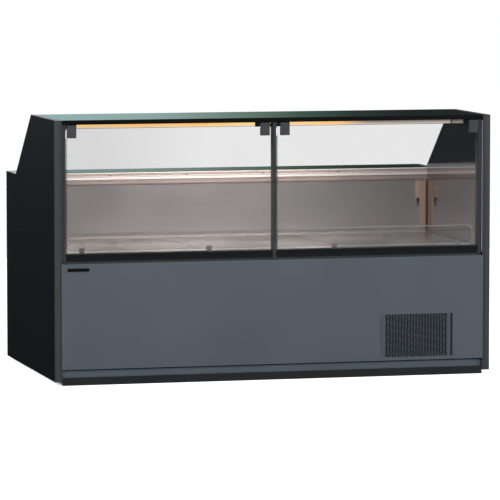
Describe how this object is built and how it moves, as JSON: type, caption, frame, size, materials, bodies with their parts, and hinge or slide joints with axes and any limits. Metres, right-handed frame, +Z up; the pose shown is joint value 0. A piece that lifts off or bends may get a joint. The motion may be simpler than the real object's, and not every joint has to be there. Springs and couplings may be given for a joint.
{
  "type": "refrigerated deli case",
  "caption": "Free-standing refrigerated serve-over deli case with lift-up front glass, insulated display well, rear worktop and built-in condensing unit.",
  "frame": {"origin": "on the floor, at the centre of the footprint", "axes": "+X along the case to the customer's right, -Y to the customer side, +Z up"},
  "size_m": [2.08, 1.15, 1.216],
  "materials": {
    "black_metal": "satin",
    "black_plastic": "satin",
    "clear_glass": "gloss",
    "coil_aluminium": "satin",
    "coil_black": "matte",
    "compressor_black": "satin",
    "dark_green_glass": "gloss",
    "display_gloss": "gloss",
    "edge_dark": "satin",
    "fan_plastic": "satin",
    "foam": "matte",
    "graphite_panel": "satin",
    "hinge_grey": "satin",
    "key_plastic": "satin",
    "polished_liner": "polished",
    "post_grey": "satin",
    "rail_aluminium": "satin",
    "rear_paint": "satin",
    "slate_paint": "satin",
    "smoked_acrylic": "gloss",
    "stainless": "satin",
    "strip_grey": "satin",
    "trim_grey": "satin",
    "warm_diffuser": "satin",
    "white_plastic": "satin",
    "zinc_steel": "satin"
  },
  "bodies": {
    "cabinet": {"air_guard": "smoked_acrylic", "base_frame": "zinc_steel", "cable_gland": "black_plastic", "centre_post": "post_grey", "compressor": "compressor_black", "condenser": "coil_black", "condenser_shroud": "zinc_steel", "condensing_base": "zinc_steel", "control_fascia": "black_plastic", "deck_bearers": "stainless", "display_window": "display_gloss", "drain_pipe": "white_plastic", "edge_trims": "edge_dark", "end_cores": "foam", "end_liner_left": "polished_liner", "end_liner_right": "polished_liner", "end_panel_left": "graphite_panel", "end_panel_right": "graphite_panel", "end_post_left": "post_grey", "end_post_right": "post_grey", "evaporator": "coil_aluminium", "fan_plate": "zinc_steel", "front_panel": "slate_paint", "front_trim_left": "trim_grey", "front_trim_right": "trim_grey", "hinge_brackets": "black_metal", "hinge_pins": "black_metal", "kick_panel": "slate_paint", "led_diffuser": "warm_diffuser", "levelling_feet": "zinc_steel", "light_beam": "black_metal", "plinth": "black_plastic", "rear_panel": "rear_paint", "rear_wall": "stainless", "return_grille": "stainless", "sill_bumper": "black_plastic", "sill_strips": "strip_grey", "top_glass": "dark_green_glass", "top_profile": "black_metal", "tub_foam": "foam", "tub_liner": "stainless", "worktop": "dark_green_glass", "worktop_carrier": "zinc_steel", "worktop_rail": "rail_aluminium"},
    "glass_left": {"front_glass_left": "clear_glass", "hinge_leaves_left": "hinge_grey"},
    "glass_right": {"front_glass_right": "clear_glass", "hinge_leaves_right": "hinge_grey"},
    "deck_left": {"deck_plate_left": "stainless"},
    "deck_middle": {"deck_plate_middle": "stainless"},
    "deck_right": {"deck_plate_right": "stainless"},
    "evap_fan_left": {"evaporator_fan_left": "fan_plastic"},
    "evap_fan_right": {"evaporator_fan_right": "fan_plastic"},
    "cond_fan": {"condenser_fan": "fan_plastic"},
    "drip_tray": {"condensate_tray": "stainless"},
    "key_up": {"key_up": "key_plastic"},
    "key_set": {"key_set": "key_plastic"},
    "key_down": {"key_down": "key_plastic"},
    "main_switch": {"main_switch": "key_plastic"},
    "light_switch": {"light_switch": "key_plastic"}
  },
  "joints": [
    {"name": "front_glass_lift_left", "type": "hinge", "parent": "cabinet", "child": "glass_left", "pos_m": [-0.5035, -0.556, 1.181], "axis": [-1, 0, 0], "range_deg": [0, 80]},
    {"name": "front_glass_lift_right", "type": "hinge", "parent": "cabinet", "child": "glass_right", "pos_m": [0.5035, -0.556, 1.181], "axis": [-1, 0, 0], "range_deg": [0, 80]},
    {"name": "deck_lift_left", "type": "slide", "parent": "cabinet", "child": "deck_left", "axis": [0, 0, 1], "range_m": [0, 0.15]},
    {"name": "deck_lift_middle", "type": "slide", "parent": "cabinet", "child": "deck_middle", "axis": [0, 0, 1], "range_m": [0, 0.15]},
    {"name": "deck_lift_right", "type": "slide", "parent": "cabinet", "child": "deck_right", "axis": [0, 0, 1], "range_m": [0, 0.15]},
    {"name": "evap_fan_spin_left", "type": "hinge", "parent": "cabinet", "child": "evap_fan_left", "pos_m": [-0.42, -0.135, 0.498], "axis": [0, 1, 0], "continuous": true},
    {"name": "evap_fan_spin_right", "type": "hinge", "parent": "cabinet", "child": "evap_fan_right", "pos_m": [0.42, -0.135, 0.498], "axis": [0, 1, 0], "continuous": true},
    {"name": "cond_fan_spin", "type": "hinge", "parent": "cabinet", "child": "cond_fan", "pos_m": [0.683, -0.433, 0.222], "axis": [0, 1, 0], "continuous": true},
    {"name": "drip_tray_slide", "type": "slide", "parent": "cabinet", "child": "drip_tray", "axis": [0, 1, 0], "range_m": [0, 0.38]},
    {"name": "key_up_press", "type": "slide", "parent": "cabinet", "child": "key_up", "axis": [0, -1, 0], "range_m": [0, 0.0012], "stiffness_N_per_m": 800},
    {"name": "key_set_press", "type": "slide", "parent": "cabinet", "child": "key_set", "axis": [0, -1, 0], "range_m": [0, 0.0012], "stiffness_N_per_m": 800},
    {"name": "key_down_press", "type": "slide", "parent": "cabinet", "child": "key_down", "axis": [0, -1, 0], "range_m": [0, 0.0012], "stiffness_N_per_m": 800},
    {"name": "main_switch_rock", "type": "hinge", "parent": "cabinet", "child": "main_switch", "pos_m": [0.86, 0.563, 0.787], "axis": [1, 0, 0], "range_deg": [-7, 7]},
    {"name": "light_switch_rock", "type": "hinge", "parent": "cabinet", "child": "light_switch", "pos_m": [0.815, 0.563, 0.787], "axis": [1, 0, 0], "range_deg": [-7, 7]}
  ]
}
